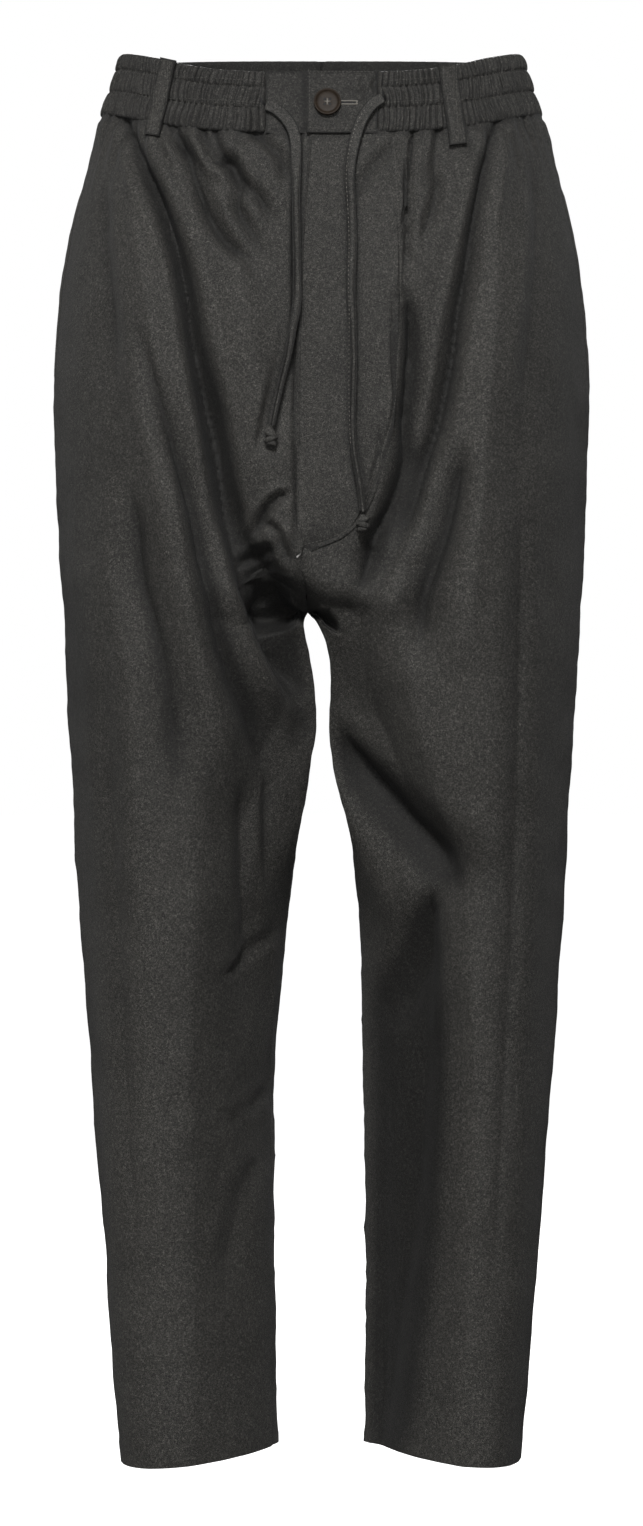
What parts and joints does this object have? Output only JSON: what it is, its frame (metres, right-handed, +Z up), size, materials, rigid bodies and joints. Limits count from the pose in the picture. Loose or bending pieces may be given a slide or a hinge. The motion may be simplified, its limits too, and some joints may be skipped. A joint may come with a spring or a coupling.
{
  "type": "harem pants",
  "caption": "Loose woollen trousers with a low crotch, tapered legs, a gathered elastic waistband, a buttoned fly and hanging ties, hollow as worn.",
  "frame": {"origin": "centre of the waistband's ring, half way up its sides, where the wearer's waist holds the trousers", "axes": "+Z up along the legs, the fly faces -Y, and +X is the wearer's left"},
  "size_m": [0.3758, 0.2794, 0.9907],
  "materials": {
    "cloth": "charcoal melange wool twill, matt, with fine lighter fibres",
    "tie": "the same cloth folded into flat ties, matt",
    "button": "dark brown, polished, with a lighter rim"
  },
  "bodies": {
    "root": {"front_left": "cloth", "front_right": "cloth", "back_left": "cloth", "back_right": "cloth", "waistband_left": "cloth", "waistband_right": "cloth", "waistband_underlap": "cloth", "waistband_overlap": "cloth", "fly_placket": "cloth", "pocket_edge_left": "cloth", "pocket_edge_right": "cloth", "belt_loop_front_right": "cloth", "belt_loop_front_left": "cloth", "belt_loop_back_right": "cloth", "belt_loop_back_left": "cloth", "belt_loop_back_centre": "cloth", "button": "button", "drawstring_right": "tie", "knot_right": "tie", "drawstring_left": "tie", "knot_left": "tie"}
  },
  "joints": []
}
